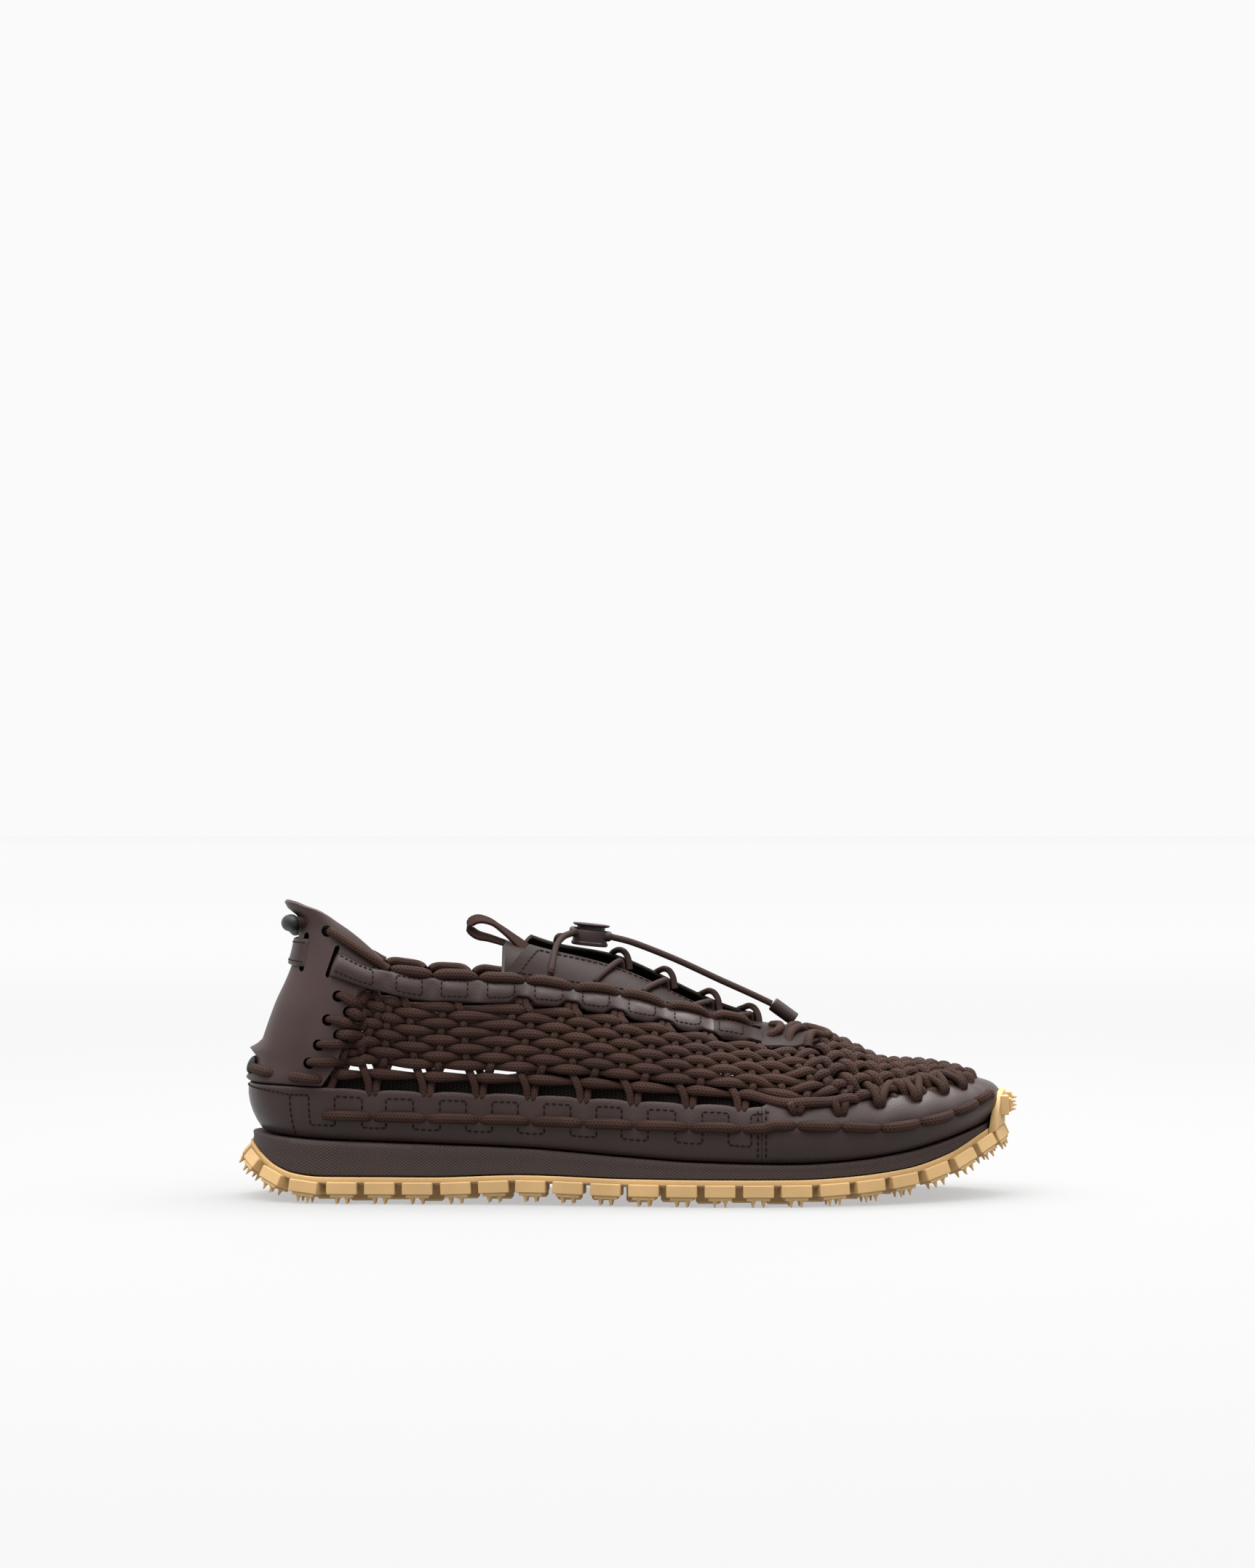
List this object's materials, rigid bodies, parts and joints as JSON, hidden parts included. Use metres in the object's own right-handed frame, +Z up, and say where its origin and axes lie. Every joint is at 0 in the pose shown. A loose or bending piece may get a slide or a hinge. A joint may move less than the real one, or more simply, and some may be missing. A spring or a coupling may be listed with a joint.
{
  "type": "woven sneaker",
  "caption": "Low sneaker with an open woven cord upper, leather rand and collar band, moulded heel counter, elastic lace with a cord lock, and a lugged rubber outsole.",
  "frame": {"origin": "middle of the shoe's footprint box, on the floor that the lugs stand on", "axes": "+X towards the toe, -Y towards the outer side of the foot, +Z up"},
  "size_m": [0.298, 0.1058, 0.1149],
  "materials": {
    "gum_rubber": "matte gum rubber",
    "midsole_foam": "matte textured foam",
    "insole_fabric": "dark knit cover",
    "braided_cord": "braided polyester cord",
    "leather": "fine grain leather",
    "counter_plastic": "satin moulded plastic",
    "webbing": "woven webbing",
    "lace": "elastic braided lace",
    "lock_plastic": "matte plastic",
    "sleeve_rubber": "matte rubber"
  },
  "bodies": {
    "root": {"outsole": "gum_rubber", "midsole": "midsole_foam", "insole": "insole_fabric", "upper": "braided_cord", "rand_rear": "leather", "toe_rand": "leather", "collar_band": "leather", "eyestay_lateral": "leather", "eyestay_medial": "leather", "heel_counter": "counter_plastic", "heel_strap": "leather", "heel_sleeve": "sleeve_rubber", "heel_grip": "sleeve_rubber", "rand_cord_lateral": "braided_cord", "rand_cord_medial": "braided_cord", "collar_cord_lateral": "braided_cord", "collar_cord_medial": "braided_cord", "heel_cord_lateral": "braided_cord", "heel_cord_medial": "braided_cord", "tongue": "leather", "tongue_loop": "webbing", "lace_crossings": "lace", "lace_tail_lateral": "lace", "lace_tail_medial": "lace", "cord_lock": "lock_plastic", "cord_end": "lock_plastic"}
  },
  "joints": []
}
